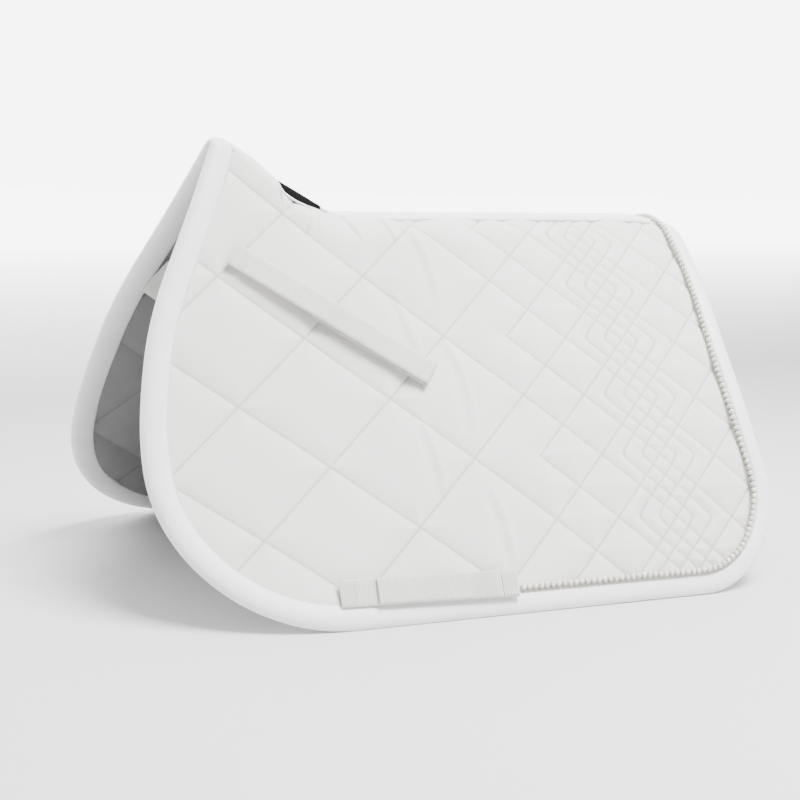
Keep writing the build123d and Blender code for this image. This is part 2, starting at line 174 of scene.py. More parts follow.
def outline():
    """The pad's outline in (x, s), from the top of the front edge round to the top of the
    rear edge, at even spacing, with its inward direction."""
    front = smooth_edge(FRONT_EDGE, True)
    rear = smooth_edge(REAR_EDGE, False)
    turn = np.radians(np.linspace(0, 90, 40))[:, None]
    corner = np.hstack([FRONT_CORNER[0] - FRONT_RADIUS * np.cos(turn),
                        FRONT_CORNER[1] - FRONT_RADIUS * np.sin(turn)])
    heel = np.hstack([REAR_CORNER[0] + REAR_RADII[0] * np.sin(turn),
                      REAR_CORNER[1] - REAR_RADII[1] * np.cos(turn)])
    # run both edges on to the spine seam
    first, last = front[0].copy(), rear[-1].copy()
    for end, lean in ((first, FRONT_EDGE[0][2]), (last, REAR_EDGE[-1][2])):
        for _ in range(SEAM_STEPS):
            gap = float(top_s(end[0])) - end[1]
            end += gap * 0.5 * np.array([math.tan(math.radians(lean)), 1.0])
    line = np.vstack([first, front, corner[1:], heel, rear[1:], last])
    run = np.concatenate([[0], np.cumsum(np.linalg.norm(np.diff(line, axis=0), axis=1))])
    keep = np.concatenate([[True], np.diff(run) > 1e-6])
    line, run = line[keep], run[keep]
    even = np.linspace(0, run[-1], int(run[-1] / EDGE_SPACING))
    points = np.stack([np.interp(even, run, line[:, k]) for k in (0, 1)], -1)
    along = np.gradient(points, axis=0)
    along /= np.linalg.norm(along, axis=1)[:, None]
    kernel = np.hanning(SMOOTHING) / np.hanning(SMOOTHING).sum()
    for k in (0, 1):
        padded = np.pad(along[:, k], SMOOTHING // 2, mode="edge")
        along[:, k] = np.convolve(padded, kernel, mode="valid")
    along /= np.linalg.norm(along, axis=1)[:, None]
    inward = np.stack([-along[:, 1], along[:, 0]], -1)
    # at the spine the sections turn to lie in the middle plane of the pad
    for end, direction in ((0, (1.0, 0.0)), (-1, (-1.0, 0.0))):
        span = np.clip(1 - np.abs(even - even[end]) / SEAM_TURN, 0, 1)[:, None] ** 1.5
        inward = inward * (1 - span) + np.array(direction) * span
    inward /= np.linalg.norm(inward, axis=1)[:, None]
    return points, inward, even


EDGE, INWARD, EDGE_RUN = outline()


def inset_of(x, s):
    """How far (x, s) lies inside the outline; negative outside."""
    points = np.stack([x.ravel(), s.ravel()], -1)
    best = np.full(len(points), 1e9)
    inside = np.zeros(len(points), bool)
    top = np.array([[EDGE[-1, 0], ABOVE_ALL], [EDGE[0, 0], ABOVE_ALL]])
    ring = np.vstack([EDGE, top, EDGE[:1]])
    for k, (a, b) in enumerate(zip(ring[:-1], ring[1:])):
        crosses = (a[1] > points[:, 1]) != (b[1] > points[:, 1])
        if a[1] != b[1]:
            at = a[0] + (points[:, 1] - a[1]) * (b[0] - a[0]) / (b[1] - a[1])
            inside ^= crosses & (points[:, 0] < at)
        if k < len(EDGE) - 1:
            best = np.minimum(best, np.hypot(points[:, 0] - a[0], points[:, 1] - a[1]))
    return np.where(inside, best, -best).reshape(x.shape)


# ---------------------------------------------------------------- quilting
# The quilting is a lattice of diamonds, counted in columns u and rows w. Its lines are the
# whole and half steps of u + w and u - w. The columns close up a little towards the tail.
COLUMN_START, COLUMN_STEP, COLUMN_CLOSING = -154.5, 72.6, 1.15
ROW_TOP, ROW_STEP, ROW_DROOP = 409.0, 64.0, 0.45
FINE_COLUMN, FINE_MARGIN = 3.0, 0.02    # the half-size diamonds begin past this column
FINE_FLARE = 1.4
ZIGZAG_COLUMNS = (13 / 3, 14 / 3)
BLUNT, BLUNT_SHIFT = 0.07, 0.4          # how blunt the tips of the zigzags are, in steps
MM_PER_STEP = 47.2                      # square distance between lines one step apart


def lattice(x, s):
    """Column and row of the lattice at (x, s)."""
    under = np.maximum(COLUMN_STEP ** 2 - 4 * COLUMN_CLOSING * (x - COLUMN_START), 1.0)
    u = (COLUMN_STEP - np.sqrt(under)) / (2 * COLUMN_CLOSING)
    return u, (ROW_TOP - ROW_DROOP * u ** 2 - s) / ROW_STEP


def to_nearest(value, step, start=0.0):
    """Distance to the nearest of start, start + step, ..."""
    return np.abs((value - start + step / 2) % step - step / 2)


def stitch_distance(x, s):
    """Distance in millimetres from each place to the nearest quilting line."""
    u, w = lattice(x, s)
    big = np.minimum(to_nearest(u + w, 2), to_nearest(u - w, 2))
    half = np.minimum(to_nearest(u + w, 2, 1), to_nearest(u - w, 2, 1))
    # the half-size lines start at blunt corners on the column where they begin
    corner = np.hypot(np.maximum(FINE_COLUMN - u, 0), to_nearest(w, 2)) * FINE_FLARE
    half = np.where(u > FINE_COLUMN + FINE_MARGIN, half, corner)
    best = np.minimum(big, half)
    for column in ZIGZAG_COLUMNS:
        for row in (0, 1):
            swing = to_nearest(w, 2, row)
            swing = np.sqrt(swing ** 2 + BLUNT ** 2) - BLUNT * BLUNT_SHIFT
            back = 1 - np.sqrt((1 - np.minimum(swing, 1)) ** 2 + BLUNT ** 2) + BLUNT * BLUNT_SHIFT
            line = column + np.where(swing < 0.5, swing, back)
            best = np.minimum(best, np.abs(u - line))
    return best * MM_PER_STEP


def soft_ridge(x, s, places, width):
    """A soft ridge, 1 high, that runs through a few places and fades out past its ends."""
    total = np.zeros_like(x)
    for (x0, s0), (x1, s1) in zip(places, places[1:]):
        run = np.array([x1 - x0, s1 - s0], float)
        t = ((x - x0) * run[0] + (s - s0) * run[1]) / (run @ run)
        t = np.clip(t, -RIDGE_PAST, 1 + RIDGE_PAST)
        away = np.hypot(x - x0 - t * run[0], s - s0 - t * run[1])
        fade = np.clip(1 + RIDGE_PAST - np.abs(t - 0.5), 0, 1)
        total = np.maximum(total, np.exp(-(away / width) ** 2) * fade)
    return total


# soft creases where the cloth is drawn by its weight, and puckers under the insert, each as a
# few (x, s) places
CREASES = [[(-18, 392), (-10, 362), (-9, 328)], [(-52, 316), (-49, 293), (-45, 268)],
           [(-9, 262), (-3, 227), (-6, 188)], [(-55, 185), (-51, 158), (-50, 126)],
           [(-3, 111), (1, 84), (0, 57)]]
PUCKERS = [[(-121, 419), (-127, 405), (-136, 388)], [(-115, 419), (-118, 409), (-121, 400)],
           [(-98, 416), (-101, 404), (-106, 394)], [(-86, 420), (-86, 405), (-80, 388)],
           [(-47, 414), (-46, 402), (-42, 388)]]
RIDGE_PAST = 0.25               # how far a crease runs past its ends, as a part of its length
# what makes up a crease or a pucker: its rise, its shift along x and its width
CREASE_FORM = ((1.5, 0, 4.5), (-0.9, -9, 5.0))
PUCKER_FORM = ((1.3, 4, 2.6), (-1.9, 0, 1.7))
GROOVE = 0.8                    # distance of a sewn groove from the middle of the cloth
PUFF_RISE, PUFF_SOFTNESS = 3.0, 12.0
GROOVE_DEPTH, GROOVE_WIDTH = 1.2, 1.3   # of the sharp part of a groove
FLAT_RIM, RIM_RUN = 6.0, 22.0   # the puff grows from the pad's rim over this run
WAVE_RISE = 0.35                # of the slow unevenness of the cloth


def relief(x, s, inset, outside):
    """Offset of the quilted surface from the middle of the cloth."""
    away = stitch_distance(x, s)
    rim = np.clip((inset - FLAT_RIM) / RIM_RUN, 0, 1)
    puff = (1 - np.exp(-(away / PUFF_SOFTNESS) ** 1.5)) * rim ** 0.6
    height = GROOVE + PUFF_RISE * puff + GROOVE_DEPTH * (1 - np.exp(-away / GROOVE_WIDTH))
    wave = np.sin(x / 31 + s / 47) * np.sin(x / 43 - s / 37 + 1.3)
    height = height + WAVE_RISE * wave * rim
    if outside:
        for lines, form in ((CREASES, CREASE_FORM), (PUCKERS, PUCKER_FORM)):
            for places in lines:
                for rise, shift, width in form:
                    height = height + rise * soft_ridge(x - shift, s, places, width)
    return height


# ---------------------------------------------------------------- opening for the insert
# (x, s) places on the opening's rim, from its front tip to its rear tip
RIM = [(-154, 456.6), (-153.2, 445), (-152, 434.5), (-149.5, 429.5), (-144, 425.5), (-136, 421.5),
       (-124, 420.3), (-113, 423.5), (-104, 429.5), (-99.5, 434.8)]
RIDGE = [(-154, 387.0), (-99.5, 358.4)]     # (x, z) ends of the stretched mesh's middle line


def rim_s(x):
    """Cloth height where the cloth ends: at the opening's rim, or else at the spine."""
    top = top_s(x)
    cut = np.interp(x, [k[0] for k in RIM], [k[1] for k in RIM])
    open_here = (x > RIM[0][0]) & (x < RIM[-1][0])
    return np.where(open_here, np.minimum(cut, top), top)


# ---------------------------------------------------------------- mesh helpers
def new_object(name, verts, faces, material):
    """A smooth-shaded mesh object, with its points in metres."""
    mesh = bpy.data.meshes.new(name)
    mesh.from_pydata([tuple(v) for v in verts], [], [tuple(f) for f in faces])
    mesh.validate()
    mesh.update()
    mesh.polygons.foreach_set("use_smooth", [True] * len(mesh.polygons))
    mesh.materials.append(material)
    obj = bpy.data.objects.new(name, mesh)
    bpy.context.scene.collection.objects.link(obj)
    return obj


def grid_faces(rows, columns, close_rows=False, close_columns=False, flip=False, keep=None):
    """Quads of a rows by columns grid of points, closed either way, turned over by flip, and
    only where all four points are kept."""
    r = np.arange(rows if close_rows else rows - 1)
    c = np.arange(columns if close_columns else columns - 1)
    r, c = np.meshgrid(r, c, indexing="ij")
    r1, c1 = (r + 1) % rows, (c + 1) % columns
    quads = np.stack([r * columns + c, r1 * columns + c, r1 * columns + c1, r * columns + c1], -1)
    quads = quads.reshape(-1, 4)
    if keep is not None:
        quads = quads[keep.ravel()[quads].all(axis=1)]
    return quads[:, ::-1] if flip else quads


def drop_loose(verts, faces):
    """Leave out the points that no face uses, and say which ones are used."""
    used = np.unique(faces)
    index = np.full(len(verts), -1)
    index[used] = np.arange(len(used))
    return verts[used], index[faces], used


def set_shade_distance(obj, distances):
    """Give each point its distance in millimetres from the nearest sewn line, or what stands for
    it between the ribs of webbing and at the edge of a tape. The materials paint shade where it is
    small."""
    shade_distance = obj.data.attributes.new("shade_distance", "FLOAT", "POINT")
    shade_distance.data.foreach_set("value", np.ravel(distances))


def blend_over_fold(obj):
    """Put the object's placement into its mesh points."""
    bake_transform(obj)


# ---------------------------------------------------------------- materials
def new_material(name, color, roughness, sheen=0.0, coat=0.0):
    mat = bpy.data.materials.new(name)
    mat.use_nodes = True
    shader = mat.node_tree.nodes["Principled BSDF"]
    shader.inputs["Base Color"].default_value = (*color, 1)
    shader.inputs["Roughness"].default_value = roughness
    shader.inputs["Sheen Weight"].default_value = sheen
    shader.inputs["Coat Weight"].default_value = coat
    return mat, shader


def node(owner, kind, **values):
    """A new node of a material or a world, with its sockets or settings filled in."""
    made = owner.node_tree.nodes.new(kind)
    for key, value in values.items():
        if key in made.inputs:
            made.inputs[key].default_value = value
        else:
            setattr(made, key, value)
    return made


def link(owner, a, b):
    owner.node_tree.links.new(a, b)


def object_place(mat):
    return node(mat, "ShaderNodeTexCoord").outputs["Object"]


def noise(mat, place, scale, detail):
    made = node(mat, "ShaderNodeTexNoise", Scale=scale, Detail=detail)
    link(mat, place, made.inputs["Vector"])
    return made.outputs["Fac"]


def multiply_add(mat, a, factor, b):
    """a times factor, plus b."""
    made = node(mat, "ShaderNodeMath", operation="MULTIPLY_ADD")
    link(mat, a, made.inputs[0])
    made.inputs[1].default_value = factor
    link(mat, b, made.inputs[2])
    return made.outputs[0]


def map_range(owner, source, from_ends, to_ends):
    """A value that goes through to_ends while source goes through from_ends."""
    made = node(owner, "ShaderNodeMapRange")
    sockets = ("From Min", "From Max", "To Min", "To Max")
    for socket, value in zip(sockets, (*from_ends, *to_ends)):
        made.inputs[socket].default_value = value
    link(owner, source, made.inputs["Value"])
    return made.outputs[0]


def set_bump(mat, shader, height, strength, distance):
    made = node(mat, "ShaderNodeBump", Strength=strength, Distance=distance)
    link(mat, height, made.inputs["Height"])
    link(mat, made.outputs["Normal"], shader.inputs["Normal"])


def ramp(mat, source, low, high, start=0.3, stop=0.7):
    """A colour that goes from low to high while source goes from start to stop."""
    made = node(mat, "ShaderNodeValToRGB")
    for end, position, color in zip(made.color_ramp.elements, (start, stop), (low, high)):
        end.position = position
        end.color = (*color, 1)
    link(mat, source, made.inputs["Fac"])
    return made.outputs["Color"]


SHADE_FADE_ENDS = (0.2, 1.7)          # the painted shade of a groove fades out between these distances


def with_painted_shade(mat, ground, groove_shade):
    """The ground colour, darkened where the distance attribute is near zero: painted shade in
    grooves, along seams and between ribs.
    """
    if groove_shade == 1:
        return ground
    seam = node(mat, "ShaderNodeAttribute", attribute_name="shade_distance")
    mixed = node(mat, "ShaderNodeVectorMath", operation="SCALE")
    link(mat, ground, mixed.inputs[0])
    link(mat, map_range(mat, seam.outputs["Fac"], SHADE_FADE_ENDS, (groove_shade, 1.0)), mixed.inputs["Scale"])
    return mixed.outputs[0]


def cloth_material(name, color, shade, thread, bump, roughness=0.85, sheen=0.25, weave_depth=0.5,
                   groove_shade=1.0):
    """Woven cloth: crossed threads a distance of thread apart, slubs, slow changes of tone, and
    painted shade in its sewn grooves."""
    mat, shader = new_material(name, color, roughness, sheen)
    shader.inputs["Sheen Roughness"].default_value = 0.5
    place = object_place(mat)
    crossed = node(mat, "ShaderNodeMath", operation="MULTIPLY")
    for k, direction in enumerate(("X", "Z")):
        threads = node(mat, "ShaderNodeTexWave", bands_direction=direction, wave_profile="SIN",
                       Scale=1 / thread, Distortion=1.5, Detail=1.0)
        link(mat, place, threads.inputs["Vector"])
        link(mat, threads.outputs["Fac"], crossed.inputs[k])
    slubs = noise(mat, place, scale=900.0, detail=4.0)
    height = multiply_add(mat, crossed.outputs[0], weave_depth, slubs)
    set_bump(mat, shader, height, bump, distance=0.0006)
    tone = noise(mat, place, scale=9.0, detail=3.0)
    ground = ramp(mat, tone, shade, color, start=0.35, stop=0.65)
    link(mat, with_painted_shade(mat, ground, groove_shade), shader.inputs["Base Color"])
    return mat


def satin_material(name, color, shade, groove_shade=1.0):
    """Padded satin: fine ribs, a soft gloss, slow changes of tone and, where asked, painted shade
    along its seams.
    """
    mat, shader = new_material(name, color, roughness=0.42, sheen=0.35)
    place = object_place(mat)
    rumple = noise(mat, place, scale=70.0, detail=3.0)
    height = multiply_add(mat, rumple, 2.2, noise(mat, place, scale=1400.0, detail=2.0))
    set_bump(mat, shader, height, strength=0.35, distance=0.0005)
    ground = ramp(mat, rumple, shade, color, start=0.3, stop=0.6)
    link(mat, with_painted_shade(mat, ground, groove_shade), shader.inputs["Base Color"])
    return mat


def pearl_material():
    mat, shader = new_material("pearl", (0.80, 0.77, 0.70), roughness=0.18, coat=0.6)
    cloud = noise(mat, object_place(mat), scale=260.0, detail=2.0)
    color = ramp(mat, cloud, (0.62, 0.60, 0.55), (0.86, 0.84, 0.79), start=0.35, stop=0.6)
    link(mat, color, shader.inputs["Base Color"])
    return mat


def metal_material():
    mat, shader = new_material("bead_cup", (0.50, 0.47, 0.38), roughness=0.38)
    shader.inputs["Metallic"].default_value = 0.6
    worn = noise(mat, object_place(mat), scale=400.0, detail=3.0)
    color = ramp(mat, worn, (0.34, 0.32, 0.26), (0.60, 0.57, 0.46))
    link(mat, color, shader.inputs["Base Color"])
    return mat


COTTON_WHITE = (0.80, 0.79, 0.765)
SATIN_WHITES = ((0.90, 0.90, 0.90), (0.87, 0.87, 0.87))
# painted shade darkens the quilting grooves of the outer cloth
COTTON = cloth_material("quilted_cotton", COTTON_WHITE, (0.77, 0.76, 0.735), 0.0011, 0.30,
                        groove_shade=0.66)
PLAIN_COTTON = cloth_material("plain_cotton", COTTON_WHITE, (0.76, 0.75, 0.73), 0.0011, 0.30)
# the lining is grey, but is painted darker than its own grey as painted shade of the pad's inside;
# painted shade also darkens its quilting grooves
LINING = cloth_material("lining_cotton", (0.23, 0.23, 0.232), (0.20, 0.20, 0.202), 0.0013, 0.35,
                        sheen=0.05, groove_shade=0.70)
SATIN = satin_material("piping_satin", *SATIN_WHITES)
# painted shade along the binding's sewn inner edge and along the edges of the spine tapes
SEAM_SHADED_SATIN = satin_material("binding_satin", *SATIN_WHITES, groove_shade=0.62)
# painted shade in the dips between the webbing's ribs
WEBBING = cloth_material("webbing", (0.80, 0.805, 0.77), (0.75, 0.755, 0.72), 0.0007, 0.45,
                         roughness=0.7, sheen=0.15, groove_shade=0.78)
LOOP = cloth_material("loop_pile", (0.70, 0.70, 0.67), (0.62, 0.62, 0.60), 0.0005, 0.8,
                      roughness=0.95, sheen=0.6, weave_depth=0.2)
HOOK = cloth_material("hook_tape", (0.62, 0.62, 0.59), (0.55, 0.55, 0.53), 0.0009, 0.9,
                      roughness=0.6, sheen=0.1)
MESH_BLACK = cloth_material("stretch_mesh", (0.005, 0.005, 0.005), (0.003, 0.003, 0.003), 0.0010,
                            0.5, roughness=0.9, sheen=0.0, weave_depth=1.2)
# hardly any light comes back off the open mesh
MESH_BLACK.node_tree.nodes["Principled BSDF"].inputs["Specular IOR Level"].default_value = 0.03
RIBBON = cloth_material("bead_ribbon", (0.60, 0.59, 0.54), (0.50, 0.49, 0.44), 0.0008, 0.5)
THREAD = cloth_material("thread", (0.80, 0.79, 0.76), (0.72, 0.71, 0.68), 0.0004, 0.4,
                        roughness=0.6, sheen=0.2)
PEARL = pearl_material()
CUP = metal_material()


# ---------------------------------------------------------------- quilted panels
GRID, LINING_GRID = 1.35, 2.6   # spacing of the points, in millimetres
CLOTH_HEIGHT = 480              # roughly, to count the points up the cloth
HEM_PART = 0.004                # the grid starts at this part of the cloth's height
NOSE_GAP, TAIL_GAP = 3, 1       # and this far inside the pad's length
UNDER_BINDING = 7.0             # the cloth ends this far inside the pad's edge
SEAM_RUN, SEAM_HIGH = 7.0, 3.2  # it comes to this offset at the spine seam, over this run
FAR = 12.0                      # longest distance held by the attribute that places the painted groove shade


def panel(name, side, outside, material, nodes):
    """One half of the quilted cloth, outer cloth or lining, from the hem to the spine."""
    step = GRID if outside else LINING_GRID
    x_line = np.linspace(NOSE_X + NOSE_GAP, TAIL_X - TAIL_GAP, int((TAIL_X - NOSE_X) / step))
    # put grid lines on the tips of the opening
    for tip in (RIM[0][0], RIM[-1][0]):
        x_line[np.argmin(np.abs(x_line - tip))] = tip
    part = np.linspace(HEM_PART, 1, int(CLOTH_HEIGHT / step))
    x = np.repeat(x_line[:, None], len(part), 1)
    s = rim_s(x_line)[:, None] * part[None, :]
    inset = inset_of(x, s)
    offset = relief(x, s, inset, outside)
    seam = (top_s(x_line)[:, None] - s) / SEAM_RUN
    to_seam = SEAM_HIGH + (offset - SEAM_HIGH) * np.clip(seam, 0, 1) ** 0.5
    offset = np.where(seam < 1, to_seam, offset)
    verts = cloth(x, s, offset if outside else -offset, side).reshape(-1, 3)
    faces = grid_faces(len(x_line), len(part), flip=(side > 0) == outside,
                       keep=inset > UNDER_BINDING)
    verts, faces, used = drop_loose(verts, faces)
    obj = new_object(name, verts, faces, material)
    # the distance from the quilting lines places painted shade in the grooves
    set_shade_distance(obj, np.minimum(stitch_distance(x, s), FAR).ravel()[used])
    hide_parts(*nodes)
    blend_over_fold(obj)


for side_name, side in SIDES:
    panel("outer_cloth_" + side_name, side, True, COTTON,
          ["flap_outer_" + side_name, "crown_outer_" + side_name,
           "flap_filling_" + side_name, "crown_filling_" + side_name])
    panel("lining_cloth_" + side_name, side, False, LINING,
          ["flap_lining_" + side_name, "crown_lining_" + side_name])


# ---------------------------------------------------------------- edge binding
# places along the pad's edge, from the top of the front edge, and the binding's width there
BINDING_RUN = [0, 330, 620, 960, 1150, EDGE_RUN[-1]]
BINDING_WIDE = [23.5, 24.0, 23.0, 19.0, 17.0, 17.0]
# the tape puckers a little between its stitches, more round the corners
PUCKER_RUN = [300, 520, 760, 850, 950, 1060]
PUCKER_PART = [0.35, 1, 0.35, 0.35, 1, 0.35]
PUCKER_DEPTH, PUCKER_SINK = 0.32, 0.15
PUFFED = 4.2                    # only the thicker part of the roll puckers


def binding_width(run):
    return np.interp(run, BINDING_RUN, BINDING_WIDE)


def edge_place(run, inset):
    """(x, s) at a distance along the outline and an inset from it."""
    at = [np.interp(run, EDGE_RUN, EDGE[:, k]) + inset * np.interp(run, EDGE_RUN, INWARD[:, k])
          for k in (0, 1)]
    return at[0], np.minimum(at[1], top_s(at[0]))


# half of the roll's section, from the sewn inner edge round to the outside: fraction of the
# width from the pad's edge, and thickness from the middle of the cloth
ROLL = [(1.0, 2.6), (1.0, 3.7), (0.965, 4.5), (0.90, 5.4), (0.78, 6.2), (0.60, 6.7), (0.42, 6.7),
        (0.26, 6.2), (0.13, 5.0), (0.05, 3.2), (0.0, 1.2)]


def binding(name, side):
    """The padded tape that is rolled round the edge of one half."""
    section = ROLL + [(w, -t) for w, t in reversed(ROLL)]
    run = np.repeat(EDGE_RUN[:, None], len(section), 1)
    wide = binding_width(run) * np.array([w for w, _ in section])
    thick = np.array([t for _, t in section])[None, :] + 0 * run
    puffed = np.abs(thick) > PUFFED
    pucker = np.sin(run * 0.55 + wide * 0.35 + 1.7 * np.sin(run / 29.0)) * np.sin(run / 23.0 + 0.7)
    part = np.interp(run, PUCKER_RUN, PUCKER_PART)
    thick = thick + np.sign(thick) * puffed * (PUCKER_DEPTH * pucker * part - PUCKER_SINK)
    x, s = edge_place(run, wide)
    verts = cloth(x, s, thick, side).reshape(-1, 3)
    faces = grid_faces(len(EDGE_RUN), len(section), close_columns=True, flip=side < 0)
    obj = new_object(name, verts, faces, SEAM_SHADED_SATIN)
    # the distance from the tape's sewn inner edge places a painted shade line along that seam
    set_shade_distance(obj, binding_width(run) - wide)
    blend_over_fold(obj)
    return obj


for side_name, side in SIDES:
    trim = binding("edge_binding_" + side_name, side)
    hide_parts("flap_binding_" + side_name)
    if side_name == "left":
        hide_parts("flap_binding_left", "crown_binding_front", "crown_binding_rear")


# ---------------------------------------------------------------- stitches
BINDING_PITCH = 3.6
BINDING_STITCH = (2.4, 0.7)             # length and thickness
BINDING_STITCH_IN, BINDING_STITCH_D = 1.6, 5.0      # in from the tape's inner edge, and offset
CROSS_PITCH = 2.1
CROSS_STITCH = (1.9, 0.8)
CROSS_MARGINS, CROSS_OUT = (2.2, 1.5), 0.25         # in from the strap's edges, and above it


def stitches(name, centres, along, up, size):
    """Short rounded stitches of one size that lie at the centres, in metres."""
    rings, sides = 5, 6
    length, thick = size[0] * MM, size[1] * MM
    t = np.linspace(-1, 1, rings)
    swell = np.sqrt(np.maximum(1 - t ** 4, 0.04))
    turn = np.arange(sides) * 2 * np.pi / sides
    across = np.cross(along, up)
    verts, faces = [], []
    shape = grid_faces(rings, sides, close_columns=True)
    caps = [list(range(sides))[::-1], [(rings - 1) * sides + k for k in range(sides)]]
    for n, (c, a, b, w) in enumerate(zip(centres, along, up, across)):
        ring = (c + a * (t[:, None, None] * length / 2)
                + (b * np.sin(turn)[None, :, None] * 0.8 + w * np.cos(turn)[None, :, None])
                * swell[:, None, None] * thick / 2)
        verts.append(ring.reshape(-1, 3))
        faces += (shape + n * rings * sides).tolist()
        faces += [[v + n * rings * sides for v in cap] for cap in caps]
    return new_object(name, np.vstack(verts), faces, THREAD)


def stitch_row(name, side, x, s, d):
    """Stitches along a line of (x, s) places, at an offset of d."""
    line, outer = cloth(x, s, d, side), cloth(x, s, d + np.sign(d), side)
    run = np.concatenate([[0], np.cumsum(np.linalg.norm(np.diff(line, axis=0), axis=1))])
    at = np.arange(BINDING_PITCH * MM / 2, run[-1], BINDING_PITCH * MM)
    even, ahead, above = (np.stack([np.interp(places, run, curve[:, k]) for k in range(3)], -1)
                          for places, curve in ((at, line), (at + MM, line), (at, outer)))
    along = ahead - even
    good = np.linalg.norm(along, axis=1) > 1e-6
    even, along, above = even[good], along[good], above[good]
    along /= np.linalg.norm(along, axis=1)[:, None]
    up = above - even
    up /= np.linalg.norm(up, axis=1)[:, None]
    return stitches(name, even, along, up, BINDING_STITCH)


for side_name, side in SIDES:
    run = EDGE_RUN[2:-2]
    for face, sign in (("outer", 1), ("inner", -1)):
        x, s = edge_place(run, binding_width(run) - BINDING_STITCH_IN)
        row = stitch_row(f"binding_stitches_{face}_{side_name}", side, x, s,
                         sign * BINDING_STITCH_D)
        blend_over_fold(row)


# ---------------------------------------------------------------- tapes on the spine seam
TAPE_SPACING = 3.0
TAPE_BASE, TAPE_EDGE = 1.2, 0.4     # offset of a tape's underside, and thickness of its edge
RIPPLE = 0.05                       # unevenness of its rise, as a part of it
LIFT_RUN = 14.0                     # a lifted front end comes down over this run
TAPE_SHADE_NARROWING = 1.3                     # makes the painted shade line at a tape's edge this much narrower


def seam_tape(name, x0, x1, half, rise, width_points, nodes, below=False, lift=0.0):
    """A padded tape along the spine seam, closed, from edge to edge over the crown. Its half
    width is given as (x, half width) at a few places along it."""
    x_line = np.arange(x0, x1, TAPE_SPACING)
    across = np.sin(np.linspace(-np.pi / 2, np.pi / 2, width_points))
    x = np.repeat(x_line[:, None], width_points, 1)
    half = np.interp(x_line, *zip(*half))[:, None]
    s = top_s(x_line)[:, None] - np.abs(across)[None, :] * half
    puff = np.sqrt(np.maximum(1 - np.abs(across) ** 9, 0))[None, :] + 0 * x
    ripple = 1 + RIPPLE * np.sin(x / 4.1) * np.sin(x / 17.0) + lift * np.exp((x0 - x) / LIFT_RUN)
    high = TAPE_BASE + TAPE_EDGE + (rise - TAPE_BASE - TAPE_EDGE) * puff * ripple
    sign = -1 if below else 1
    layers = []
    for d in (high, TAPE_BASE + 0 * x):
        points = cloth(x, s, sign * d, -1)
        points[..., 1] = np.abs(points[..., 1]) * np.sign(across)[None, :]
        layers.append(points)
    ring = np.concatenate([layers[0], layers[1][:, ::-1]], axis=1)
    rows, columns = ring.shape[:2]
    faces = grid_faces(rows, columns, close_columns=True, flip=below).tolist()
    faces.append(list(range(columns)))
    faces.append([(rows - 1) * columns + k for k in range(columns)][::-1])
    obj = new_object(name, ring.reshape(-1, 3), faces, SEAM_SHADED_SATIN)
    # the distance from a tape's edges places a painted shade line along them
    from_edge = (1 - np.abs(np.concatenate([across, across[::-1]])))[None, :] * half
    set_shade_distance(obj, from_edge * TAPE_SHADE_NARROWING)
    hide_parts(*nodes)
    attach(obj, "spine")


seam_tape("spine_welt", -101, 295, [(-101, 10), (-88, 18.5), (-65, 22), (295, 23)], 6.4, 33,
          ["spine_tape"], lift=0.35)
seam_tape("withers_welt", -198, -155, [(-198, 11), (-155, 9)], 6.0, 21, ["wither_tape"])
seam_tape("inner_spine_cover", -84, 290, [(-84, 10), (290, 10)], 5.9, 13, ["inner_spine_tape"],
          below=True)


# ---------------------------------------------------------------- withers insert
MESH_POINTS, PIPING_POINTS = 70, 80     # points along the opening
MESH_THICK, MESH_ARCH = 0.0014, 2.2
MESH_SINK, PIPING_SINK = 1.0, 0.6       # below the outer face of the cloth
PIPING_RADIUS, PIPING_DOWN = 0.0012, 0.3


def opening_line(count):
    """Places along the opening, closer together towards its front tip."""
    return RIM[0][0] + (RIM[-1][0] - RIM[0][0]) * np.linspace(0, 1, count) ** 1.5


def insert():
    """The black mesh, stretched over the opening from rim to rim."""
    x_line = opening_line(MESH_POINTS)
    across = np.linspace(-1, 1, 33)
    edge = cloth(x_line, rim_s(x_line), PANEL_HALF - MESH_SINK, -1)
    half, low = np.abs(edge[:, 1]), edge[:, 2]
    ridge = np.maximum(np.interp(x_line, *zip(*RIDGE)) * MM, low)
    y = half[:, None] * across[None, :]
    z = low[:, None] + (ridge - low)[:, None] * (1 - np.abs(across) ** MESH_ARCH)[None, :]
    x = np.repeat(x_line[:, None], len(across), 1) * MM
    top = np.stack([x, y, z], -1)
    under = top - np.array([0, 0, MESH_THICK])
    ring = np.concatenate([top, under[:, ::-1]], axis=1)
    faces = grid_faces(*ring.shape[:2], close_columns=True)
    obj = new_object("withers_mesh", ring.reshape(-1, 3), faces, MESH_BLACK)
    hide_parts("wither_insert")
    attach(obj, "spine")


def tube(name, path, radius, material, sides=10):
    """A round closed tube along a path of points in metres."""
    along = np.gradient(path, axis=0)
    along /= np.linalg.norm(along, axis=1)[:, None]
    # any direction that the path never takes
    aside = np.cross(along, np.array([0.31, 0.2, 0.93]))
    aside /= np.linalg.norm(aside, axis=1)[:, None]
    up = np.cross(aside, along)
    turn = np.arange(sides) * 2 * np.pi / sides
    ring = (path[:, None, :] + (aside[:, None, :] * np.cos(turn)[None, :, None]
                                + up[:, None, :] * np.sin(turn)[None, :, None]) * radius)
    faces = grid_faces(len(path), sides, close_columns=True).tolist()
    faces.append(list(range(sides))[::-1])
    faces.append([(len(path) - 1) * sides + k for k in range(sides)])
    return new_object(name, ring.reshape(-1, 3), faces, material)


insert()
for side_name, side in SIDES:
    x_line = opening_line(PIPING_POINTS)
    rim = cloth(x_line, rim_s(x_line) - PIPING_DOWN, PANEL_HALF - PIPING_SINK, side)
    piping = tube("insert_rim_" + side_name, rim, PIPING_RADIUS, SATIN)
    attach(piping, "spine")


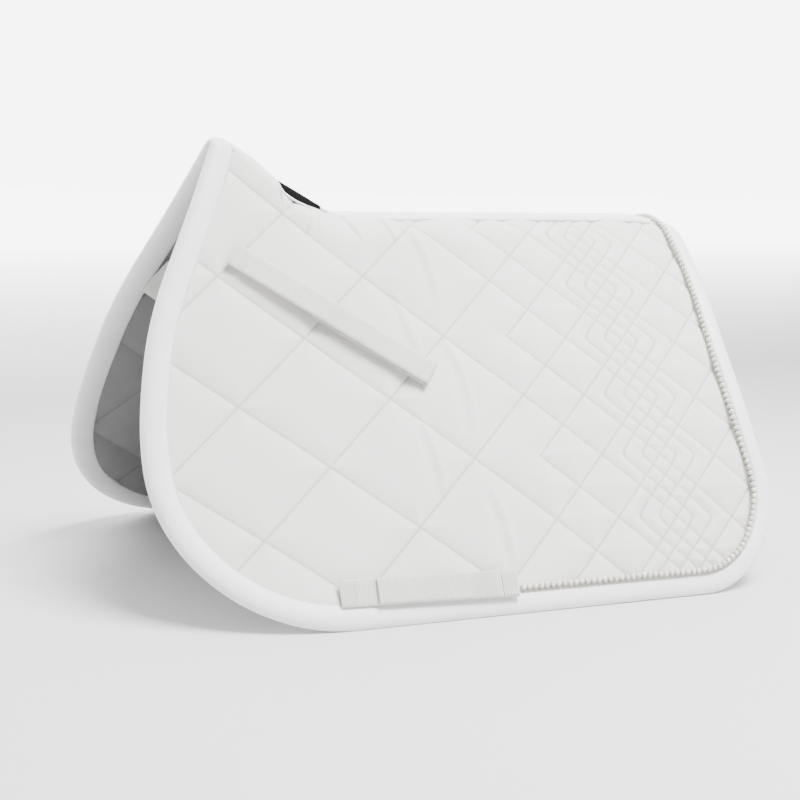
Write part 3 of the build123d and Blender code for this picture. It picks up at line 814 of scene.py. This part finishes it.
# ---------------------------------------------------------------- webbing straps
SELVEDGE = 0.0007               # roundness of a strap's edges, in metres
RIB_SHADE_MIDDLE, RIB_SHADE_SWING = 0.95, 0.75   # the distance attribute over a rib, middle and swing, for painted shade in the dips
STRAP_THICK, UNDERSIDE = 0.0017, 0.0005 # points deeper than UNDERSIDE are under the strap
LOOP_LOOK = {"material": LOOP, "rib": 1.1, "rib_depth": 0.08}
HOOK_LOOK = {"material": HOOK, "rib": 1.3, "rib_depth": 0.12}
BACKING_LOOK = {"material": PLAIN_COTTON, "rib": 6.0, "rib_depth": 0.1}


def node_points(name):
    """Points of a CAD piece's mesh."""
    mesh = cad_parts[name].data
    flat = np.zeros(len(mesh.vertices) * 3)
    mesh.vertices.foreach_get("co", flat)
    return flat.reshape(-1, 3)


def slab_frame(name, side):
    """Centre and axes of a flat CAD piece: along it towards the tail, across it, and
    outwards from the pad."""
    points = node_points(name)
    low, high = points.min(0), points.max(0)
    centre = (low + high) / 2
    _, _, axes = np.linalg.svd(points - points.mean(0))
    along, across = axes[0], axes[1]
    along = along if along[0] > 0 else -along
    out = np.cross(along, across)
    if out[1] * side < 0:
        out = -out
    across = np.cross(out, along)
    return centre, along, across, out


def webbing(name, cad_node, side, like=None, material=WEBBING, rib=2.3, rib_depth=0.26, trim=0.0):
    """A length of ribbed webbing or tape in the place of its CAD solid, as a closed mesh. It
    lies as the CAD piece called like, and can be trimmed at its rear end."""
    centre, along, across, out = slab_frame(like or cad_node, side)
    local = (node_points(cad_node) - centre) @ np.stack([along, across, out], 1)
    low, high = local.min(0), local.max(0)
    start, stop = low[0], high[0] - trim * MM
    count = max(int((stop - start) / (rib * MM / 5)), 8)
    t = np.linspace(start, stop, count)
    half_w, half_t = (high[1] - low[1]) / 2, (high[2] - low[2]) / 2
    flat = np.linspace(-1, 1, 9) * (half_w - min(half_t, SELVEDGE))
    section = np.array([(w, half_t) for w in flat] + [(half_w, 0.0)]
                       + [(-w, -half_t) for w in flat] + [(-half_w, 0.0)])
    mid = (low + high) / 2
    ribs = np.cos(t / (rib * MM) * 2 * np.pi)
    height = section[None, :, 1] + np.sign(section[None, :, 1]) * (ribs * rib_depth * MM)[:, None]
    points = (centre + along * t[:, None, None] + across * (mid[1] + section[:, 0])[None, :, None]
              + out * (mid[2] + height)[..., None])
    faces = grid_faces(count, len(section), close_columns=True).tolist()
    faces.append(list(range(len(section)))[::-1])
    faces.append([(count - 1) * len(section) + k for k in range(len(section))])
    obj = new_object(name, points.reshape(-1, 3), faces, material)
    # the ribs' waves place painted shade in the dips between them
    set_shade_distance(obj, np.repeat(RIB_SHADE_MIDDLE + RIB_SHADE_SWING * ribs, len(section)))
    return obj


def thin_strap(obj, like, side):
    """Leave one layer under the top of the strap, because the CAD strap's box takes in its
    fold as well."""
    centre, _, _, out = slab_frame(like, side)
    centre, out = Vector(centre), Vector(out)
    top = max((v.co - centre).dot(out) for v in obj.data.vertices)
    for v in obj.data.vertices:
        depth = top - (v.co - centre).dot(out)
        if depth > UNDERSIDE:
            v.co += out * (depth - min(depth, STRAP_THICK))


def piece(obj, body, slot_name, *nodes):
    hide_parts(*nodes)
    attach(obj, body)


def fold_cap(side_name, side):
    """The strap's rounded fold at its rear end, from the strap down to its tail."""
    centre, along, across, out = slab_frame("billet_loop_tape_" + side_name, side)
    axes = np.stack([along, across, out], 1)
    strap = (node_points("billet_strap_" + side_name) - centre) @ axes
    tail = (node_points("billet_tail_" + side_name) - centre) @ axes
    top, bottom = strap[:, 2].max(), tail[:, 2].min()
    thick = tail[:, 2].max() - bottom
    middle, outer = (top + bottom) / 2, (top - bottom) / 2
    x0 = strap[:, 0].max() - outer
    turn = np.radians(np.linspace(90, -90, 17))
    wide = np.linspace(-1, 1, 7) * (strap[:, 1].max() - strap[:, 1].min()) / 2
    outside, inside = (np.stack([x0 + radius * np.cos(turn), middle + radius * np.sin(turn)], -1)
                       for radius in (outer, outer - thick))
    loop = np.vstack([outside, inside[::-1]])
    points = (centre + along * loop[:, 0][:, None, None] + out * loop[:, 1][:, None, None]
              + across * wide[None, :, None])
    faces = grid_faces(len(loop), len(wide), close_rows=True, flip=True).tolist()
    faces.append([k * len(wide) for k in range(len(loop))])
    faces.append([k * len(wide) + len(wide) - 1 for k in range(len(loop))][::-1])
    return new_object("strap_fold_" + side_name, points.reshape(-1, 3), faces, WEBBING)


def cross_stitch(name, cad_node, side, start, stop, rows, like=None):
    """Rows of stitches across a strap, between two places along it in millimetres from its
    front end."""
    centre, along, across, out = slab_frame(like or cad_node, side)
    local = (node_points(cad_node) - centre) @ np.stack([along, across, out], 1)
    low, high = local.min(0), local.max(0)
    first, last = low[1] + CROSS_MARGINS[0] * MM, high[1] - CROSS_MARGINS[1] * MM
    centres = np.array([centre + along * x + across * y + out * (high[2] + CROSS_OUT * MM)
                        for x in np.linspace(low[0] + start * MM, low[0] + stop * MM, rows)
                        for y in np.arange(first, last, CROSS_PITCH * MM)])
    n = len(centres)
    return stitches(name, centres, np.tile(across, (n, 1)), np.tile(out, (n, 1)), CROSS_STITCH)


def straps(side_name, side):
    """The billet strap and the girth keeper of one side."""
    flap, lift = side_name + "_flap", side_name + "_billet_strap"
    tail, peel = side_name + "_billet_tail", side_name + "_girth_strap"
    loop_tape, girth_strap = "billet_loop_tape_" + side_name, "girth_strap_" + side_name
    tab = webbing("billet_end_" + side_name, "billet_tab_" + side_name, side, loop_tape)
    piece(tab, flap, "webbing", "billet_tab_" + side_name)
    strap = webbing("billet_webbing_" + side_name, "billet_strap_" + side_name, side, loop_tape,
                    trim=3.0)
    thin_strap(strap, loop_tape, side)
    piece(strap, lift, "webbing", "billet_strap_" + side_name)
    cap = fold_cap(side_name, side)
    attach(cap, lift)
    for name, cad_name, body, slot_name, like, look in (
            ("billet_tail_webbing_", "billet_tail_", tail, "webbing", loop_tape, {}),
            ("billet_loop_", "billet_loop_tape_", lift, "loop_tape", None, LOOP_LOOK),
            ("billet_hook_", "billet_hook_tape_", tail, "hook_tape", loop_tape, HOOK_LOOK),
            ("billet_backing_cloth_", "billet_backing_", flap, "lining_cloth", None, BACKING_LOOK),
            ("girth_under_webbing_", "girth_band_", flap, "webbing", None, {}),
            ("girth_end_", "girth_tab_", flap, "webbing", girth_strap, {}),
            ("girth_webbing_", "girth_strap_", peel, "webbing", None, {}),
            ("girth_loop_", "girth_loop_tape_", flap, "loop_tape", None, LOOP_LOOK),
            ("girth_hook_", "girth_hook_tape_", peel, "hook_tape", None, HOOK_LOOK)):
        laid = webbing(name + side_name, cad_name + side_name, side, like, **look)
        piece(laid, body, slot_name, cad_name + side_name)
    for name, cad_name, start, stop, rows, body, like in (
            ("billet_sewing_", "billet_tab_", 2.5, 13.5, 5, flap, loop_tape),
            ("girth_front_sewing_", "girth_band_", 2.0, 15.0, 6, flap, None),
            ("girth_cross_sewing_", "girth_strap_", 90.0, 112.0, 10, peel, None),
            ("girth_rear_sewing_", "girth_tab_", 2.5, 12.5, 5, flap, girth_strap)):
        sewn = cross_stitch(name + side_name, cad_name + side_name, side, start, stop, rows, like)
        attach(sewn, body)


for side_name, side in SIDES:
    straps(side_name, side)


# ---------------------------------------------------------------- beads
BEAD_RADIUS = 2.5
BEAD_HEIGHT = 8.0               # offset of a bead's middle, roughly
def islands(name):
    """Centres of the separate balls of a CAD node."""
    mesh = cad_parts[name].data
    points = node_points(name)
    parent = np.arange(len(points))

    def root(k):
        while parent[k] != k:
            parent[k] = parent[parent[k]]
            k = parent[k]
        return k

    for a, b in mesh.edge_keys:
        ra, rb = root(a), root(b)
        if ra != rb:
            parent[ra] = rb
    roots = np.array([root(k) for k in range(len(points))])
    balls = {}
    for k in np.unique(roots):
        mine = points[roots == k]
        middle = (mine.min(0) + mine.max(0)) / 2
        balls[tuple(np.round(middle, 4))] = middle
    return np.array(list(balls.values()))


def cups(name, centres, normals, bead_radius):
    """A small turned ring round the foot of each bead, with its section in bead radii."""
    profile = np.array([(1.05, -0.95), (1.16, -0.7), (1.15, -0.25), (1.06, 0.0), (0.98, -0.2),
                        (0.90, -0.6), (0.85, -0.95)]) * bead_radius
    sides = 14
    turn = np.arange(sides) * 2 * np.pi / sides
    verts, faces = [], []
    shape = grid_faces(sides, len(profile), close_rows=True, close_columns=True, flip=True)
    for n, (c, up) in enumerate(zip(centres, normals)):
        a = np.cross(up, [1.0, 0.1, 0.0])
        a /= np.linalg.norm(a)
        b = np.cross(up, a)
        ring = (c + (a * np.cos(turn)[:, None, None] + b * np.sin(turn)[:, None, None])
                * profile[None, :, 0:1] + up * profile[None, :, 1:2])
        verts.append(ring.reshape(-1, 3))
        faces += (shape + n * sides * len(profile)).tolist()
    return new_object(name, np.vstack(verts), faces, CUP)


def cloth_normals(points):
    """Outward directions of the cloth near points of the pad."""
    x = points[:, 0] / MM
    parts = np.linspace(0, 1, 240)
    out = []
    for k, p in enumerate(points):
        side = -1 if p[1] < 0 else 1
        s = parts * float(top_s(x[k]))
        near = cloth(x[k], s, BEAD_HEIGHT, side)
        n = int(np.argmin(np.linalg.norm(near - p, axis=1)))
        direction = near[n] - cloth(x[k], s[n], 0.0, side)
        out.append(direction / np.linalg.norm(direction))
    return np.array(out)


for node_name, tape_name, body in (("beads_left", "bead_tape_left", "left_flap"),
                                   ("beads_right", "bead_tape_right", "right_flap"),
                                   ("crown_beads", "crown_bead_tape", "spine")):
    for cad_node, material in ((node_name, PEARL), (tape_name, RIBBON)):
        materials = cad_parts[cad_node].data.materials
        materials.clear()
        materials.append(material)
    centres = islands(node_name)
    rings = cups(node_name + "_cups", centres, cloth_normals(centres), BEAD_RADIUS * MM)
    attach(rings, body)


# ---------------------------------------------------------------- floor, light and camera
BACK_GLOW, ROOM_GLOW = 7.0, 0.4
FLOOR_SIZE, FLOOR_WHITE = 30, (0.66, 0.66, 0.66)
GLOW_Y = (1.0, 5.0)             # the floor's glow grows from none to full between these
SKY_Y = (0.2, 0.75)             # and the room's between these Y parts of a view direction
CAMERA_PLACE = (-0.6652, -1.2963, 0.4031)
CAMERA_TURN = (26.97, 9.61, 1.372)      # azimuth, downward tilt and roll, in degrees
LENS = 63


def floor():
    """A white floor that glows behind the pad, so that it fades into the lit room."""
    bpy.ops.mesh.primitive_plane_add(size=FLOOR_SIZE, location=(0, 0, 0))
    plane = bpy.context.object
    plane.name = "floor"
    mat, shader = new_material("floor_white", FLOOR_WHITE, 0.9)
    parts = node(mat, "ShaderNodeSeparateXYZ")
    link(mat, object_place(mat), parts.inputs[0])
    glow = map_range(mat, parts.outputs["Y"], GLOW_Y, (0.0, BACK_GLOW - 1.0))
    shader.inputs["Emission Color"].default_value = (1, 1, 1, 1)
    link(mat, glow, shader.inputs["Emission Strength"])
    plane.data.materials.append(mat)


def studio():
    """A white room, brighter behind the pad."""
    world = bpy.data.worlds.new("studio")
    world.use_nodes = True
    background = world.node_tree.nodes["Background"]
    background.inputs["Color"].default_value = (1, 1, 1, 1)
    parts = node(world, "ShaderNodeSeparateXYZ")
    link(world, node(world, "ShaderNodeTexCoord").outputs["Generated"], parts.inputs[0])
    bright = map_range(world, parts.outputs["Y"], SKY_Y, (ROOM_GLOW, BACK_GLOW))
    link(world, bright, background.inputs["Strength"])
    bpy.context.scene.world = world


def area_light(name, place, target, size, power, spread=180):
    data = bpy.data.lights.new(name, "AREA")
    data.size = size
    data.energy = power
    data.spread = math.radians(spread)
    lamp = bpy.data.objects.new(name, data)
    lamp.location = place
    lamp.rotation_euler = (Vector(target) - Vector(place)).to_track_quat("-Z", "Y").to_euler()
    bpy.context.scene.collection.objects.link(lamp)


def camera():
    """The photograph's camera."""
    data = bpy.data.cameras.new("camera")
    data.sensor_width = 36
    data.lens = LENS
    data.clip_end = 100
    cam = bpy.data.objects.new("camera", data)
    azimuth, tilt, roll = (math.radians(turn) for turn in CAMERA_TURN)
    look = Vector((math.sin(azimuth) * math.cos(tilt), math.cos(azimuth) * math.cos(tilt),
                   -math.sin(tilt)))
    right = Vector((math.cos(azimuth), -math.sin(azimuth), 0))
    up = right.cross(look)
    right, up = (right * math.cos(roll) + up * math.sin(roll),
                 up * math.cos(roll) - right * math.sin(roll))
    axes = Matrix((right, up, -look)).transposed()
    cam.rotation_mode = "QUATERNION"
    cam.rotation_quaternion = axes.to_quaternion()
    cam.location = CAMERA_PLACE
    bpy.context.scene.collection.objects.link(cam)
    bpy.context.scene.camera = cam


floor()
studio()
area_light("key", (0.45, -0.85, 2.2), (0.12, -0.2, 0.2), size=1.2, power=62, spread=95)
area_light("fill", (1.2, -2.2, 1.0), (0, -0.1, 0.2), size=1.4, power=14)
camera()
